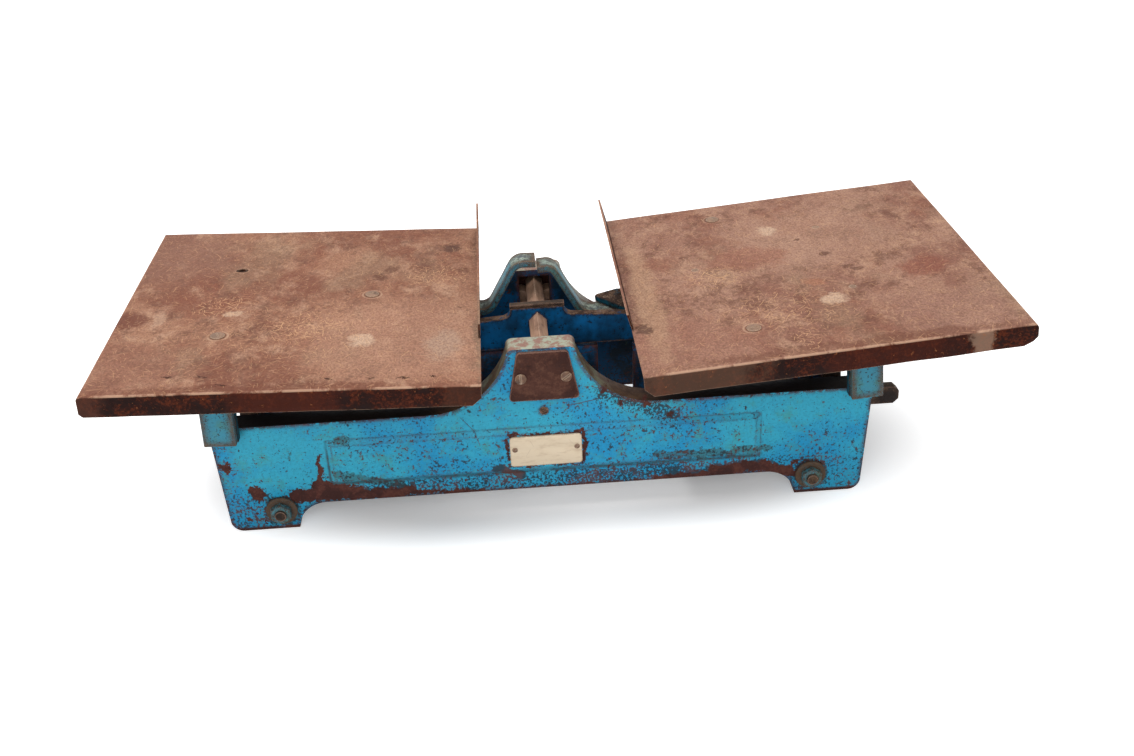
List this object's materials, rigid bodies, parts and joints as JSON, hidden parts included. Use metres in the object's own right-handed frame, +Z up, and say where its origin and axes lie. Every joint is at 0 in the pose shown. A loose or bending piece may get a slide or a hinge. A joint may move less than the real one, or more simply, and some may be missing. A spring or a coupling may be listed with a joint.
{
  "type": "balance scale",
  "caption": "Old two-pan counter balance scale: turquoise cast housing with arched hump, dark beam on knife edges, check link, and two flat rusty square sheet pans on tilting carriers",
  "frame": {"origin": "bottom centre of the whole object's box, on the table under the housing", "axes": "+X to the right along the beam, +Y away from the viewer to the rear wall, +Z up"},
  "size_m": [0.624, 0.2782, 0.1643],
  "materials": {
    "cast_paint": "worn turquoise paint with dark speckle chips and rust",
    "dark_paint": "dirty deep blue paint with black speckles and brown edges",
    "plate_paint": "faded turquoise paint, pale and brown on top",
    "rusty_plate": "dark reddish brown rust with pale worn edges",
    "worn_steel": "tan worn steel",
    "pan_sheet": "mottled brown rusty sheet with fine light scratches",
    "rusty_iron": "rough brown rust",
    "screw_heads": "dull stained steel",
    "aged_plate": "bare aged cream plate"
  },
  "bodies": {
    "housing": {"base_casting": "cast_paint", "front_bearing_block": "worn_steel", "rear_bearing_block": "worn_steel", "front_bearing_cover": "rusty_plate", "rear_bearing_cover": "rusty_plate", "bearing_cover_screws": "screw_heads", "bearing_set_screws": "screw_heads", "name_plate": "aged_plate", "name_plate_pins": "screw_heads", "left_tie_rod": "rusty_iron", "right_tie_rod": "rusty_iron", "tie_rod_washers": "rusty_iron", "tie_rod_nuts": "rusty_iron", "check_link_pivot": "screw_heads", "lock_pivot_pin": "screw_heads"},
    "beam": {"beam_bar": "dark_paint", "beam_cap_plate": "rusty_plate", "fulcrum_shaft": "worn_steel", "left_end_shaft": "worn_steel", "right_end_shaft": "worn_steel", "shaft_lock_pins": "screw_heads", "tare_screw": "rusty_iron"},
    "tare_nut": {"tare_nut": "rusty_iron"},
    "left_carrier": {"left_carrier_frame": "dark_paint", "left_saddles": "worn_steel", "left_leg_plates": "plate_paint", "left_stem": "rusty_iron", "left_stem_rivets": "screw_heads", "left_link_pin": "screw_heads", "left_pointer": "plate_paint", "left_pointer_screws": "screw_heads", "left_pan": "pan_sheet", "left_pan_rivets": "screw_heads"},
    "right_carrier": {"right_carrier_frame": "dark_paint", "right_saddles": "worn_steel", "right_leg_plates": "plate_paint", "right_stem": "rusty_iron", "right_stem_rivets": "screw_heads", "right_link_pin": "screw_heads", "right_pointer": "plate_paint", "right_pointer_screws": "screw_heads", "right_pan": "pan_sheet", "right_pan_screws": "screw_heads", "right_pan_stiffener": "rusty_iron", "right_pan_rivets": "screw_heads"},
    "check_link": {"check_link": "rusty_iron"},
    "lock_lever": {"lock_lever": "rusty_iron", "lock_finger": "rusty_iron"}
  },
  "joints": [
    {"name": "beam_tilt", "type": "hinge", "parent": "housing", "child": "beam", "pos_m": [-0.01058, 0, 0.112], "axis": [0, -1, 0], "range_deg": [-2.4, 1.2]},
    {"name": "left_carrier_swing", "type": "hinge", "parent": "beam", "child": "left_carrier", "pos_m": [-0.23707, 0, 0.10963], "axis": [0, -1, 0], "range_deg": [-1.2, 2.4]},
    {"name": "right_carrier_swing", "type": "hinge", "parent": "beam", "child": "right_carrier", "pos_m": [0.21591, 0, 0.11437], "axis": [0, -1, 0], "range_deg": [-1.2, 2.4]},
    {"name": "check_link_swing", "type": "hinge", "parent": "housing", "child": "check_link", "pos_m": [-0.01058, 0, 0.03616], "axis": [0, -1, 0], "range_deg": [-2.4, 1.2]},
    {"name": "lock_lever_turn", "type": "hinge", "parent": "housing", "child": "lock_lever", "pos_m": [0.19362, -0.02, 0.049], "axis": [0, 1, 0], "range_deg": [0, 5.8]},
    {"name": "tare_nut_slide", "type": "slide", "parent": "beam", "child": "tare_nut", "axis": [0.9999, 0, 0.0105], "range_m": [-0.014, 0.014]}
  ],
  "couplings": [
    {"joint": "left_carrier_swing", "follows": "beam_tilt", "ratio": -1},
    {"joint": "right_carrier_swing", "follows": "beam_tilt", "ratio": -1},
    {"joint": "check_link_swing", "follows": "beam_tilt", "ratio": 1}
  ]
}
